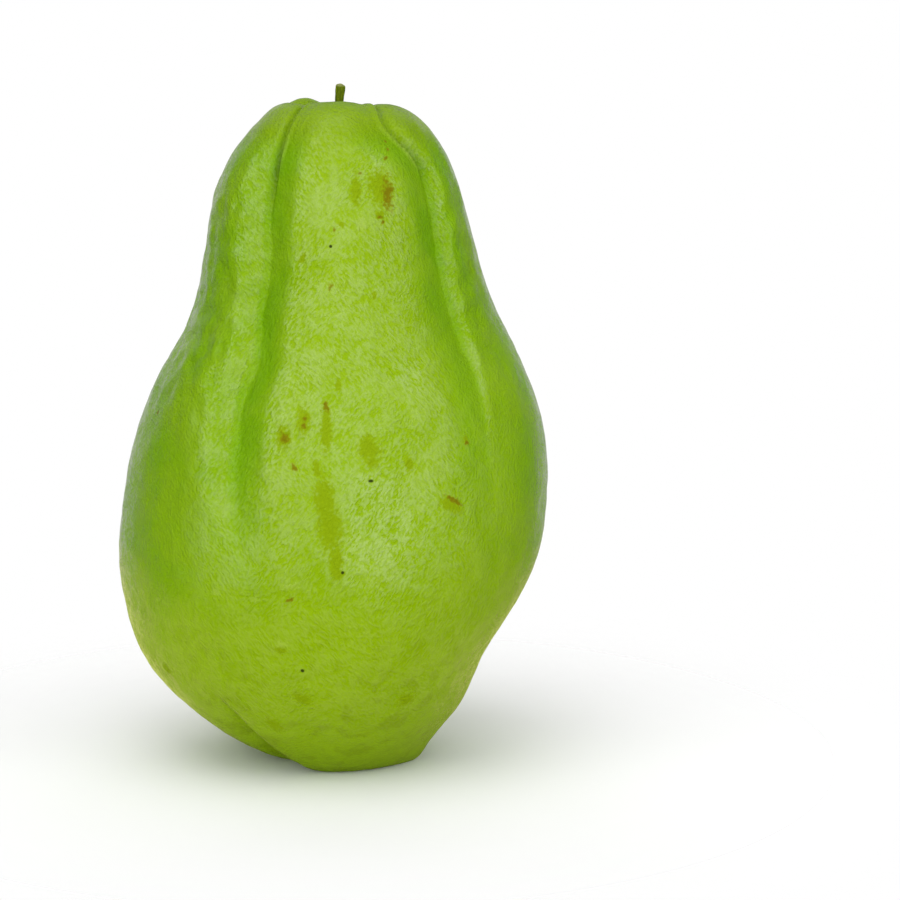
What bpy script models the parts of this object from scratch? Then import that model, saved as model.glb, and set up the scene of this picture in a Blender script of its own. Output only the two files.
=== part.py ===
"""Chayote squash: one whole pear-shaped fruit, standing on its blossom end.

The fruit is a sphere primitive whose points are carried onto a lofted body. Rows of radii to the
left, right, front and back, each at its own height, shape the body from the blossom end up to the
floor of the stem cavity. Furrows, a folded mouth at the blossom end and soft dents are then
pressed in along the surface normal. The stem is a short bevelled curve standing in the cavity.

Metres, +Z up. The front faces -Y, and the origin is at the middle of the foot.
"""

import math

import bmesh
import bpy
import numpy as np
from mathutils import Vector, noise

MM = 0.001

# Body rows, in mm, from the blossom end up: height, and radius to the left, right, front and back.
# The last four rows turn over the crest and go down into the stem cavity.
ROWS = (
    (2.5, 0.0, 0.0, 0.0, 0.0),
    (-0.6, 10.5, 19.5, 15.0, 12.0),
    (4.0, 20.6, 22.9, 23.2, 22.0),
    (13.0, 34.5, 29.2, 31.5, 31.0),
    (24.0, 43.6, 34.0, 38.0, 37.0),
    (36.0, 47.0, 41.2, 41.5, 40.0),
    (49.0, 48.2, 46.4, 43.0, 41.0),
    (63.0, 46.4, 47.8, 42.0, 39.5),
    (76.5, 43.0, 46.0, 39.5, 37.0),
    (88.5, 38.0, 42.0, 36.0, 34.0),
    (99.0, 32.4, 36.6, 32.5, 31.0),
    (110.0, 29.0, 32.4, 29.5, 28.5),
    (121.5, 27.2, 29.5, 27.3, 26.5),
    (132.5, 24.0, 26.4, 24.0, 23.5),
    (140.0, 18.8, 22.4, 20.0, 19.5),
    (144.8, 13.9, 17.4, 14.5, 14.5),
    (146.4, 9.6, 11.6, 9.0, 8.5),
    (143.4, 4.4, 4.6, 4.4, 4.4),
    (140.8, 2.5, 2.5, 2.5, 2.5),
    (140.6, 0.0, 0.0, 0.0, 0.0),
)

# Rows closer than this, in mm, are meshed as if they were this far apart.
SHORTEST_STEP = 6.0

# Furrows, by bearing round the fruit. Each has its path as (height in mm, bearing in degrees from
# the front, positive to the right), its depth in mm, the widths in mm of its left and right flanks,
# the height in mm at which it has died out on its way down, and how far in mm the lobe that follows
# it, to the right, rises at the crest.
FURROWS = (
    (((50.0, -99.0), (100.0, -98.0), (138.0, -98.0), (146.0, -98.0)), 2.0, (6.0, 5.0), 60.0, -0.4),
    (((55.0, -24.0), (67.0, -27.3), (80.0, -29.3), (88.0, -30.2), (96.0, -28.3), (105.0, -31.0),
      (112.0, -30.0), (124.0, -32.0), (133.0, -31.5), (141.0, -29.5), (146.0, -27.0)),
     3.1, (6.0, 7.6), 38.0, -0.7),
    (((60.0, 47.0), (86.0, 50.5), (94.0, 53.0), (103.0, 54.6), (110.0, 55.2), (118.0, 56.4),
      (125.0, 57.5), (130.0, 56.8), (134.0, 54.5), (136.0, 50.5), (137.8, 45.5), (139.5, 40.5),
      (141.7, 37.3), (144.5, 40.0), (146.3, 45.0)), 2.5, (7.8, 2.8), 74.0, 0.3),
    (((50.0, 119.0), (100.0, 116.0), (146.0, 112.0)), 2.2, (5.0, 5.5), 58.0, -0.6),
    (((45.0, 190.0), (100.0, 186.0), (146.0, 175.0)), 2.4, (6.0, 6.0), 50.0, 3.0),
)

# Height in mm over which a furrow fades out, roundness of its bottom and edges as a share of its
# flanks, and the share of its depth that is left at the crest.
FURROW_FADE = 45.0
FURROW_ROUND = 0.14
FURROW_CREST_SHARE = 0.2

# Height in mm of the lobes between the furrows, and the share of it that is left at the crest.
LOBE_SWELL = 1.7
LOBE_CREST_SHARE = 0.25

# At the crest the lobes rise most on a ring round the stem cavity, with this radius and width in mm.
# The smaller the bluntness, the squarer a lobe is across its top.
RIM_RADIUS = 7.2
RIM_WIDTH = 4.0
LOBE_BLUNTNESS = 0.8

# The crest tips backwards by this slope.
CREST_TILT = 0.2

# The mouth: a curved fold across the blossom end, in mm in plan, from its left end to its right. It
# is steeper on its front side, and it has died out at the height MOUTH_REACH, in mm.
MOUTH = (
    (-28.0, -29.5), (-21.5, -25.5), (-15.5, -21.0), (-8.0, -14.5), (3.0, -7.0), (17.0, -3.0), (31.0, -4.0),
)
MOUTH_DEPTH = 4.4
MOUTH_FRONT_WIDTH = 2.4
MOUTH_BACK_WIDTH = 4.4
MOUTH_REACH = 24.0

# Soft dents of the skin, in mm.
DENT_DEPTH = 0.5
DENT_SIZE = 17.0

# The stem's axis, in mm to the right of and behind the middle of the foot.
AXIS_RIGHT = 0.21
AXIS_BACK = 1.07

SPHERE_SEGMENTS = 96
SPHERE_RINGS = 64

# The stem, in mm: it stands a little to the right of the cavity's middle and leans to the right.
STEM_DIAMETER = 2.0
STEM_HEIGHT = 10.6
STEM_RIGHT = 1.1
STEM_LEAN = 1.0
STEM_GAP = 0.3


def natural_spline(knots, values, at):
    """Values at the given places of the smooth curve through (knots, values)."""
    count = len(knots)
    step = np.diff(knots)
    rise = np.diff(values) / step
    system = np.zeros((count, count))
    right_side = np.zeros(count)
    system[0, 0] = system[-1, -1] = 1.0
    for i in range(1, count - 1):
        system[i, i - 1 : i + 2] = step[i - 1], 2.0 * (step[i - 1] + step[i]), step[i]
        right_side[i] = 6.0 * (rise[i] - rise[i - 1])
    bend = np.linalg.solve(system, right_side)
    i = np.clip(np.searchsorted(knots, at) - 1, 0, count - 2)
    a = (knots[i + 1] - at) / step[i]
    b = 1.0 - a
    cubic = ((a**3 - a) * bend[i] + (b**3 - b) * bend[i + 1]) * step[i] ** 2 / 6.0
    return a * values[i] + b * values[i + 1] + cubic


def smooth_step(low, high, x):
    """0 below low, 1 above high, and a smooth rise between."""
    x = np.clip((x - low) / (high - low), 0.0, 1.0)
    return x * x * (3.0 - 2.0 * x)


def body_point(along, bearing):
    """Points of the plain body: along runs 0 to 1 from blossom end to cavity floor."""
    rows = np.array(ROWS)
    mean_radius = rows[:, 1:].mean(axis=1)
    steps = np.maximum(np.hypot(np.diff(mean_radius), np.diff(rows[:, 0])), SHORTEST_STEP)
    knots = np.concatenate(([0.0], np.cumsum(steps))) / steps.sum()
    height, left, right, front, back = (natural_spline(knots, rows[:, k], along) for k in range(5))
    side, ahead = np.sin(bearing), np.cos(bearing)
    x = 0.5 * (right + left) * side + 0.5 * (right - left) * side**2
    y = 0.5 * (front + back) * ahead + 0.5 * (front - back) * ahead**2
    return np.stack([x, -y, height], axis=-1)


def body_normal(along, bearing):
    """Outward normals of the plain body, by small differences kept clear of the two poles."""
    small = 1e-4
    middle = np.clip(along, 2.0 * small, 1.0 - 2.0 * small)
    round_it = body_point(middle, bearing + small) - body_point(middle, bearing - small)
    up_it = body_point(middle + small, bearing) - body_point(middle - small, bearing)
    normal = np.cross(round_it, up_it)
    return normal / np.linalg.norm(normal, axis=-1, keepdims=True)


def furrow_bearing(path, height):
    """Bearing in radians of a furrow's path at the given heights."""
    heights, bearings = np.array(path).T
    return np.radians(natural_spline(heights, bearings, np.clip(height, heights[0], heights[-1])))


def furrow_relief(point, bearing):
    """How far the furrows lie below, and the lobes between them above, the plain body, in mm."""
    height = point[..., 2]
    radius = np.hypot(point[..., 0], point[..., 1])
    crest = smooth_step(126.0, 144.0, height)
    swell = LOBE_SWELL * smooth_step(40.0, 95.0, height) * (1.0 - (1.0 - LOBE_CREST_SHARE) * crest)
    valley = 1.0 - (1.0 - FURROW_CREST_SHARE) * crest
    rim = np.exp(-(((radius - RIM_RADIUS) / RIM_WIDTH) ** 2))
    relief = np.zeros_like(height)
    for furrow, following in zip(FURROWS, FURROWS[1:] + FURROWS[:1]):
        path, depth, (left, right), foot, lobe_rise = furrow
        here = furrow_bearing(path, height)
        turn = (bearing - here) % (2.0 * np.pi)
        span = (furrow_bearing(following[0], height) - here) % (2.0 * np.pi)
        lobe = np.sin(np.pi * np.clip(turn / span, 0.0, 1.0))
        risen = swell * (lobe - 0.6) + crest * rim * lobe_rise * lobe**LOBE_BLUNTNESS
        relief += np.where(turn < span, risen, 0.0)
        aside = (turn - 2.0 * np.pi * (turn > np.pi)) * radius
        share = np.sqrt((aside / np.where(aside > 0.0, right, left)) ** 2 + FURROW_ROUND**2)
        wall = 0.5 * (1.0 - share + np.sqrt((1.0 - share) ** 2 + FURROW_ROUND**2))
        reach = smooth_step(foot, foot + FURROW_FADE, height)
        relief -= depth * valley * reach * wall
    return relief * smooth_step(3.5, 10.0, radius)


def mouth_relief(point):
    """How far the mouth at the blossom end is pressed in, in mm."""
    distance = np.full(point.shape[:-1], np.inf)
    width = np.full(point.shape[:-1], MOUTH_FRONT_WIDTH)
    for (x0, y0), (x1, y1) in zip(MOUTH, MOUTH[1:]):
        edge = np.array([x1 - x0, y1 - y0])
        offset = point[..., :2] - (x0, y0)
        share = np.clip(offset @ edge / (edge @ edge), 0.0, 1.0)
        gap = np.linalg.norm(offset - share[..., None] * edge, axis=-1)
        side = edge[0] * offset[..., 1] - edge[1] * offset[..., 0]
        here = np.where(side > 0.0, MOUTH_BACK_WIDTH, MOUTH_FRONT_WIDTH)
        width = np.where(gap < distance, here, width)
        distance = np.minimum(distance, gap)
    low = 1.0 - smooth_step(0.0, MOUTH_REACH, point[..., 2])
    return -MOUTH_DEPTH * low * np.exp(-((distance / width) ** 2))


def dent_relief(point):
    """Soft unevenness of the skin, in mm."""
    values = [noise.noise(Vector(place)) for place in point / DENT_SIZE]
    cavity = smooth_step(3.0, 10.0, np.hypot(point[..., 0], point[..., 1]))
    return DENT_DEPTH * cavity * np.array(values)


def fruit_point(along, bearing):
    """Points of the finished skin, in mm, with the foot pressed flat at height 0."""
    point = body_point(along, bearing)
    relief = furrow_relief(point, bearing) + mouth_relief(point) + dent_relief(point)
    point = point + body_normal(along, bearing) * relief[..., None]
    point[..., 2] -= CREST_TILT * point[..., 1] * smooth_step(118.0, 146.0, point[..., 2])
    point[..., 2] = np.maximum(point[..., 2], 0.0)
    return point + (AXIS_RIGHT, AXIS_BACK, 0.0)


def clear_scene():
    for item in list(bpy.data.objects):
        bpy.data.objects.remove(item, do_unlink=True)


def material(name, colour, roughness):
    """A Principled material of one colour."""
    made = bpy.data.materials.new(name)
    made.use_nodes = True
    shader = made.node_tree.nodes["Principled BSDF"]
    shader.inputs["Base Color"].default_value = (*colour, 1.0)
    shader.inputs["Roughness"].default_value = roughness
    shader.inputs["Metallic"].default_value = 0.0
    return made


def make_fruit(collection):
    """The fruit: a sphere whose latitude and longitude become along and bearing."""
    mesh = bpy.data.meshes.new("fruit")
    body = bmesh.new()
    bmesh.ops.create_uvsphere(
        body, u_segments=SPHERE_SEGMENTS, v_segments=SPHERE_RINGS, radius=1.0
    )
    sphere = np.array([vertex.co for vertex in body.verts])
    along = 1.0 - np.arccos(np.clip(sphere[:, 2], -1.0, 1.0)) / np.pi
    bearing = np.arctan2(sphere[:, 0], -sphere[:, 1])
    for vertex, place in zip(body.verts, fruit_point(along, bearing)):
        vertex.co = Vector(place) * MM
    bmesh.ops.recalc_face_normals(body, faces=body.faces)
    body.to_mesh(mesh)
    body.free()
    mesh.shade_smooth()
    mesh.materials.append(material("chayote_skin", (0.26, 0.45, 0.03), 0.38))
    fruit = bpy.data.objects.new("fruit", mesh)
    collection.objects.link(fruit)
    return fruit


def make_stem(collection):
    """The cut stub of the stalk, leaning a little to the right and thicker at its cut end."""
    floor = fruit_point(np.array([1.0]), np.array([0.0]))[0]
    shares = (0.0, 0.3, 0.65, 0.88, 1.0)
    thickness = (1.0, 0.92, 0.95, 1.08, 1.0)
    curve = bpy.data.curves.new("stem", "CURVE")
    curve.dimensions = "3D"
    curve.bevel_depth = 0.5 * STEM_DIAMETER * MM
    curve.bevel_resolution = 3
    curve.use_fill_caps = True
    spline = curve.splines.new("POLY")
    spline.points.add(len(shares) - 1)
    for point, share, thick in zip(spline.points, shares, thickness):
        x = floor[0] + STEM_RIGHT + STEM_LEAN * share
        z = floor[2] + STEM_GAP + STEM_HEIGHT * share
        point.co = (x * MM, floor[1] * MM, z * MM, 1.0)
        point.radius = thick
    curve.materials.append(material("chayote_stem", (0.13, 0.2, 0.02), 0.6))
    stem = bpy.data.objects.new("stem", curve)
    collection.objects.link(stem)
    return stem


def main():
    clear_scene()
    chayote = bpy.data.collections.new("chayote_squash")
    bpy.context.scene.collection.children.link(chayote)
    make_fruit(chayote)
    make_stem(chayote)


main()
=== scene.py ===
"""Looks of the chayote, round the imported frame: its finely wrinkled waxy skin, its marks and its stalk."""

import math

import bpy
import numpy as np
from mathutils import Matrix, Vector, noise


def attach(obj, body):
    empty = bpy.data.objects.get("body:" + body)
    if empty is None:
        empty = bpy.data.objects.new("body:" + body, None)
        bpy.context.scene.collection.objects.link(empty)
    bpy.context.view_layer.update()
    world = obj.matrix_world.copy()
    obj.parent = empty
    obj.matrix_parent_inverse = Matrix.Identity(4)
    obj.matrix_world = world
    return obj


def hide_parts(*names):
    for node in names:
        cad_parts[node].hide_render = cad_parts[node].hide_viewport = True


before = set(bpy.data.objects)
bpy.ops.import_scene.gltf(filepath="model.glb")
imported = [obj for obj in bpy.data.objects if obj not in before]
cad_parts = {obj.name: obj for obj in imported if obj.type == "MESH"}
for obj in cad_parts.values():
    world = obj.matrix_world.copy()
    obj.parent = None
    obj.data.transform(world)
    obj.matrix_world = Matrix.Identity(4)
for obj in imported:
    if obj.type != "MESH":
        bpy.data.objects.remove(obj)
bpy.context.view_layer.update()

MM = 0.001
FULL_TURN = 2.0 * np.pi

# ---------------------------------------------------------------- shape of the fruit, in mm

# Body rows from the blossom end up: height, and radius to the left, right, front and back.
# The last four rows turn over the crest and go down into the stem cavity.
ROWS = (
    (2.5, 0.0, 0.0, 0.0, 0.0),
    (-0.6, 10.5, 19.5, 15.0, 12.0),
    (4.0, 20.6, 22.9, 23.2, 22.0),
    (13.0, 34.5, 29.2, 31.5, 31.0),
    (24.0, 43.6, 34.0, 38.0, 37.0),
    (36.0, 47.0, 41.2, 41.5, 40.0),
    (49.0, 48.2, 46.4, 43.0, 41.0),
    (63.0, 46.4, 47.8, 42.0, 39.5),
    (76.5, 43.0, 46.0, 39.5, 37.0),
    (88.5, 38.0, 42.0, 36.0, 34.0),
    (99.0, 32.4, 36.6, 32.5, 31.0),
    (110.0, 29.0, 32.4, 29.5, 28.5),
    (121.5, 27.2, 29.5, 27.3, 26.5),
    (132.5, 24.0, 26.4, 24.0, 23.5),
    (140.0, 18.8, 22.4, 20.0, 19.5),
    (144.8, 13.9, 17.4, 14.5, 14.5),
    (146.4, 9.6, 11.6, 9.0, 8.5),
    (143.4, 4.4, 4.6, 4.4, 4.4),
    (140.8, 2.5, 2.5, 2.5, 2.5),
    (140.6, 0.0, 0.0, 0.0, 0.0),
)
SHORTEST_STEP = 6.0

# Furrows, in their order round the fruit. Bearings are in degrees from the front, positive to the right.
# path: heights and bearings of the bottom
# depth: how far the bottom lies below the plain body
# flanks: widths of the left and right flanks
# foot: height at which the furrow has died out on its way down
# lobe_rise: how far the lobe that follows it rises at the crest
# lip: height of the lip along its crease, on the left if negative
# crease_foot: height at which that crease has died out
# strips: widths of the greener, less waxy strips to the left and right of its bottom, partly the furrow's
# own green and partly painted shade on the flank turned from the light
# strip_foot: height at which they have died out
FURROWS = (
    dict(
        path=((50.0, -99.0), (100.0, -98.0), (138.0, -98.0), (146.0, -98.0)),
        depth=2.0, flanks=(6.0, 5.0), foot=60.0, lobe_rise=-0.4,
        lip=0.12, crease_foot=122.0, strips=(5.5, 4.6), strip_foot=60.0,
    ),
    dict(
        path=(
            (55.0, -24.0), (67.0, -27.3), (80.0, -29.3), (88.0, -30.2), (96.0, -28.3), (105.0, -31.0),
            (112.0, -30.0), (124.0, -32.0), (133.0, -31.5), (141.0, -29.5), (146.0, -27.0),
        ),
        depth=3.1, flanks=(6.0, 7.6), foot=38.0, lobe_rise=-0.7,
        lip=0.25, crease_foot=122.0, strips=(1.5, 6.9), strip_foot=38.0,
    ),
    dict(
        path=(
            (60.0, 47.0), (86.0, 50.5), (94.0, 53.0), (103.0, 54.6), (110.0, 55.2), (118.0, 56.4),
            (125.0, 57.5), (130.0, 56.8), (134.0, 54.5), (136.0, 50.5), (137.8, 45.5), (139.5, 40.5),
            (141.7, 37.3), (144.5, 40.0), (146.3, 45.0),
        ),
        depth=2.5, flanks=(7.8, 2.8), foot=74.0, lobe_rise=0.3,
        lip=-0.6, crease_foot=127.0, strips=(9.0, 1.2), strip_foot=52.0,
    ),
    dict(
        path=((50.0, 119.0), (100.0, 116.0), (146.0, 112.0)),
        depth=2.2, flanks=(5.0, 5.5), foot=58.0, lobe_rise=-0.6,
        lip=-0.15, crease_foot=124.0, strips=(4.6, 5.0), strip_foot=58.0,
    ),
    dict(
        path=((45.0, 190.0), (100.0, 186.0), (146.0, 175.0)),
        depth=2.4, flanks=(6.0, 6.0), foot=50.0, lobe_rise=3.0,
        lip=0.2, crease_foot=122.0, strips=(5.5, 5.5), strip_foot=50.0,
    ),
)
FURROW_FADE = 45.0
FURROW_ROUND = 0.14
FURROW_CREST_SHARE = 0.2
FURROW_RADII = (3.5, 10.0)

# The lobes between the furrows swell out over these heights, and less again over the crest's.
LOBE_SWELL = 1.7
LOBE_MEAN = 0.6
LOBE_CREST_SHARE = 0.25
LOBE_BLUNTNESS = 0.8
SWELL_HEIGHTS = (40.0, 95.0)
CREST_HEIGHTS = (126.0, 144.0)

# A greener, less waxy streak runs down the right lobe as well, as painted shade. It fades in over the first
# two of these heights, and out over the last two.
SHADE_STREAK_BEARING = math.radians(67.0)
SHADE_STREAK_WIDTH = 2.3
SHADE_STREAK_SHARE = 0.85
SHADE_STREAK_HEIGHTS = (100.0, 122.0, 132.0, 142.0)

# The lobes rise most on a ring round the cavity.
RIM_RADIUS = 7.2
RIM_WIDTH = 4.0

# Each furrow ends at the crest in a crease, which starts beyond the cavity.
CREASE_DEPTH = 0.9
CREASE_WIDTH = 0.75
CREASE_FADE = 12.0
CREASE_RADII = (5.0, 11.0)
LIP_HEIGHTS = (131.0, 139.0)
LIP_WIDTH = 0.7
LIP_ASIDE = 1.2

# The crest tips backwards by this slope, which sets in over these heights.
CREST_TILT = 0.2
TILT_HEIGHTS = (118.0, 146.0)

# The mouth: a curved fold across the blossom end, in plan, from its left end to its right. It is
# partly a broad hollow, steeper at the front, and partly a sharp fold.
MOUTH = (
    (-28.0, -29.5), (-21.5, -25.5), (-15.5, -21.0), (-8.0, -14.5),
    (3.0, -7.0), (17.0, -3.0), (31.0, -4.0),
)
MOUTH_HOLLOW_DEPTH = 3.72
MOUTH_FOLD_DEPTH = 2.28
MOUTH_FRONT_WIDTH = 2.2
MOUTH_BACK_WIDTH = 4.4
MOUTH_FOLD_WIDTH = 0.8
MOUTH_REACH = 24.0

# Soft dents of the skin. The small ones have this share of their depth everywhere, and this much
# more at the lumpiest places.
DENT_DEPTH = 0.5
DENT_SIZE = 17.0
DENT_RADII = (3.0, 10.0)
SMALL_DENT_DEPTH = 0.30
SMALL_DENT_SIZE = 3.7
SMALL_DENT_SHARE = 0.35
SMALL_DENT_EXTRA = 1.5
TINY_DENT_DEPTH = 0.07
TINY_DENT_SIZE = 1.9
TINY_DENT_SHIFT = 31.0

# The lumpiest places: the upper left lobe, by bearing and half width in degrees, and the heights
# where it fades in and out, and a patch of the right lobe, by bearing and height with half widths.
LUMPY_LEFT = (-56.0, 28.0)
LUMPY_LEFT_HEIGHTS = (70.0, 95.0, 126.0, 142.0)
LUMPY_RIGHT = (66.0, 13.0)
LUMPY_RIGHT_HEIGHT = (116.0, 20.0)

# The skin is drawn in by this much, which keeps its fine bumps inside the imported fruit's box.
SKIN_INSET = 0.12

# The stem's axis, to the right of and behind the middle of the foot.
AXIS_RIGHT = 0.21
AXIS_BACK = 1.07

# The stalk's stub stands to the right of the axis and leans to the right. Its thickness grows from
# one share of its diameter by another, over the given shares of its length. It has five ribs.
STEM_DIAMETER = 2.0
STEM_RIGHT = 1.1
STEM_LEAN = 1.0
STEM_FOOT = 140.8
STEM_TOP = 151.4
STEM_THIN = 0.92
STEM_GROWTH = 0.16
STEM_GROWS = (0.55, 0.9)
STEM_RIB = 0.07
STEM_RIB_TURN = 0.6
STEM_ROUNDS = 0.93
STEM_TIP_SHARE = 0.25
STEM_SLANT = 0.4
STEM_SLANTS = (0.8, 1.0)
STEM_ROUGHNESS = 0.05
STEM_ROUGH_SIZE = 0.9
STEM_RINGS = 40
STEM_SIDES = 40

# The skin is painted palest round this bearing, where it faces the light, out to about this far from it, in
# radians: painted light on the front, painted shade towards the sides.
PAINTED_LIGHT_BEARING = math.radians(12.0)
PAINTED_LIGHT_WIDTH = math.radians(48.0)

# How strongly the mouth gets the creases' painted shade, and the lips their painted highlight.
MOUTH_SHADE = 0.6
LIP_HIGHLIGHT_STRENGTH = 3.0

# Mesh of the skin, round and along.
COLUMNS = 400
RINGS = 244


def natural_spline(knots, values, at):
    """Values at the given places of the smooth curve through (knots, values)."""
    count = len(knots)
    step = np.diff(knots)
    rise = np.diff(values) / step
    system = np.zeros((count, count))
    right_side = np.zeros(count)
    system[0, 0] = system[-1, -1] = 1.0
    for i in range(1, count - 1):
        system[i, i - 1 : i + 2] = step[i - 1], 2.0 * (step[i - 1] + step[i]), step[i]
        right_side[i] = 6.0 * (rise[i] - rise[i - 1])
    bend = np.linalg.solve(system, right_side)
    i = np.clip(np.searchsorted(knots, at) - 1, 0, count - 2)
    a = (knots[i + 1] - at) / step[i]
    b = 1.0 - a
    cubic = ((a**3 - a) * bend[i] + (b**3 - b) * bend[i + 1]) * step[i] ** 2 / 6.0
    return a * values[i] + b * values[i + 1] + cubic


def smooth_step(low, high, x):
    """0 below low, 1 above high, and a smooth rise between."""
    x = np.clip((x - low) / (high - low), 0.0, 1.0)
    return x * x * (3.0 - 2.0 * x)


def bell(x):
    """1 at 0, falling smoothly to both sides."""
    return np.exp(-(x**2))


def flat_bell(x):
    """1 around 0, falling to both sides at about 1."""
    return np.exp(-(x**4))


def wrapped(angle):
    """The same angle, between minus and plus half a turn."""
    return (angle + np.pi) % FULL_TURN - np.pi


def body_point(along, bearing):
    """Points of the plain body: along runs 0 to 1 from blossom end to cavity floor."""
    rows = np.array(ROWS)
    mean_radius = rows[:, 1:].mean(axis=1)
    steps = np.maximum(np.hypot(np.diff(mean_radius), np.diff(rows[:, 0])), SHORTEST_STEP)
    knots = np.concatenate(([0.0], np.cumsum(steps))) / steps.sum()
    height, left, right, front, back = (natural_spline(knots, rows[:, k], along) for k in range(5))
    side, ahead = np.sin(bearing), np.cos(bearing)
    x = 0.5 * (right + left) * side + 0.5 * (right - left) * side**2
    y = 0.5 * (front + back) * ahead + 0.5 * (front - back) * ahead**2
    return np.stack([x, -y, height], axis=-1)


def body_normal(along, bearing):
    """Outward normals of the plain body, by small differences kept clear of the two poles."""
    small = 1e-4
    middle = np.clip(along, 2.0 * small, 1.0 - 2.0 * small)
    round_it = body_point(middle, bearing + small) - body_point(middle, bearing - small)
    up_it = body_point(middle + small, bearing) - body_point(middle - small, bearing)
    normal = np.cross(round_it, up_it)
    return normal / np.linalg.norm(normal, axis=-1, keepdims=True)


def furrow_bearing(furrow, height):
    """Bearing in radians of a furrow's bottom at the given heights."""
    heights, bearings = np.array(furrow["path"]).T
    return np.radians(natural_spline(heights, bearings, np.clip(height, heights[0], heights[-1])))


def furrow_relief(point, bearing):
    """How far the furrows lie below, and the lobes between them above, the plain body."""
    height = point[..., 2]
    radius = np.hypot(point[..., 0], point[..., 1])
    crest = smooth_step(*CREST_HEIGHTS, height)
    swell = LOBE_SWELL * smooth_step(*SWELL_HEIGHTS, height) * (1.0 - (1.0 - LOBE_CREST_SHARE) * crest)
    valley = 1.0 - (1.0 - FURROW_CREST_SHARE) * crest
    rim = bell((radius - RIM_RADIUS) / RIM_WIDTH)
    relief = np.zeros_like(height)
    for furrow, following in zip(FURROWS, FURROWS[1:] + FURROWS[:1]):
        here = furrow_bearing(furrow, height)
        turn = (bearing - here) % FULL_TURN
        span = (furrow_bearing(following, height) - here) % FULL_TURN
        lobe = np.sin(np.pi * np.clip(turn / span, 0.0, 1.0))
        rise = swell * (lobe - LOBE_MEAN) + crest * rim * furrow["lobe_rise"] * lobe**LOBE_BLUNTNESS
        relief += np.where(turn < span, rise, 0.0)
        aside = (turn - FULL_TURN * (turn > np.pi)) * radius
        left, right = furrow["flanks"]
        share = np.sqrt((aside / np.where(aside > 0.0, right, left)) ** 2 + FURROW_ROUND**2)
        wall = 0.5 * (1.0 - share + np.sqrt((1.0 - share) ** 2 + FURROW_ROUND**2))
        reach = smooth_step(furrow["foot"], furrow["foot"] + FURROW_FADE, height)
        relief -= furrow["depth"] * valley * reach * wall
    return relief * smooth_step(*FURROW_RADII, radius)


def furrow_and_shade_share(point, bearing):
    """1 along the bottom of the furrows and in the streak, falling to 0 on the lobes: partly the furrows'
    own green, partly painted shade.
    """
    height = point[..., 2]
    radius = np.hypot(point[..., 0], point[..., 1])
    fade_in, full, fade_out, gone = SHADE_STREAK_HEIGHTS
    share = SHADE_STREAK_SHARE * flat_bell(wrapped(bearing - SHADE_STREAK_BEARING) * radius / SHADE_STREAK_WIDTH)
    share *= smooth_step(fade_in, full, height) * (1.0 - smooth_step(fade_out, gone, height))
    for furrow in FURROWS:
        turn = wrapped(bearing - furrow_bearing(furrow, height))
        left, right = furrow["strips"]
        strip = flat_bell(turn * radius / np.where(turn > 0.0, right, left))
        foot = furrow["strip_foot"]
        share = np.maximum(share, smooth_step(foot, foot + FURROW_FADE, height) * strip)
    return share


def crease_shares(point, bearing):
    """How much of a crease's groove, and of the lip beside it, is at each point."""
    height = point[..., 2]
    radius = np.hypot(point[..., 0], point[..., 1])
    clear = smooth_step(*CREASE_RADII, radius)
    groove = np.zeros_like(height)
    lips = np.zeros_like(height)
    for furrow in FURROWS:
        aside = wrapped(bearing - furrow_bearing(furrow, height)) * radius
        foot = furrow["crease_foot"]
        groove += clear * smooth_step(foot, foot + CREASE_FADE, height) * bell(aside / CREASE_WIDTH)
        beside = bell((aside - math.copysign(LIP_ASIDE, furrow["lip"])) / LIP_WIDTH)
        lips += clear * smooth_step(*LIP_HEIGHTS, height) * abs(furrow["lip"]) * beside
    return groove, lips


def crease_relief(point, bearing):
    """The thin creases near the crest, each with a low lip along one side."""
    groove, lips = crease_shares(point, bearing)
    return lips - CREASE_DEPTH * groove


def mouth_shares(point):
    """How much of the mouth's broad hollow, and of its sharp fold, is at each point."""
    distance = np.full(point.shape[:-1], np.inf)
    width = np.full(point.shape[:-1], MOUTH_FRONT_WIDTH)
    for (x0, y0), (x1, y1) in zip(MOUTH, MOUTH[1:]):
        edge = np.array([x1 - x0, y1 - y0])
        offset = point[..., :2] - (x0, y0)
        share = np.clip(offset @ edge / (edge @ edge), 0.0, 1.0)
        gap = np.linalg.norm(offset - share[..., None] * edge, axis=-1)
        side = edge[0] * offset[..., 1] - edge[1] * offset[..., 0]
        width = np.where(gap < distance, np.where(side > 0.0, MOUTH_BACK_WIDTH, MOUTH_FRONT_WIDTH), width)
        distance = np.minimum(distance, gap)
    low = 1.0 - smooth_step(0.0, MOUTH_REACH, point[..., 2])
    return low * bell(distance / width), low * bell(distance / MOUTH_FOLD_WIDTH)


def mouth_relief(point):
    """How far the mouth at the blossom end is pressed in."""
    hollow, fold = mouth_shares(point)
    return -(MOUTH_HOLLOW_DEPTH * hollow + MOUTH_FOLD_DEPTH * fold)


def noise_at(point, size):
    """Smooth noise with lumps of about the given size, from -1 to 1."""
    return np.array([noise.noise(Vector(place)) for place in point / size])


def lumpy_share(point):
    """1 in the middle of the lumpiest places, falling to 0 round them."""
    bearing = np.degrees(np.arctan2(point[..., 0], -point[..., 1]))
    height = point[..., 2]
    middle, width = LUMPY_LEFT
    fade_in, full, fade_out, gone = LUMPY_LEFT_HEIGHTS
    left = bell((bearing - middle) / width) * smooth_step(fade_in, full, height)
    left = left * (1.0 - smooth_step(fade_out, gone, height))
    middle, width = LUMPY_RIGHT
    level, reach = LUMPY_RIGHT_HEIGHT
    right = bell((bearing - middle) / width) * bell((height - level) / reach)
    return np.maximum(left, right)


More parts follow.
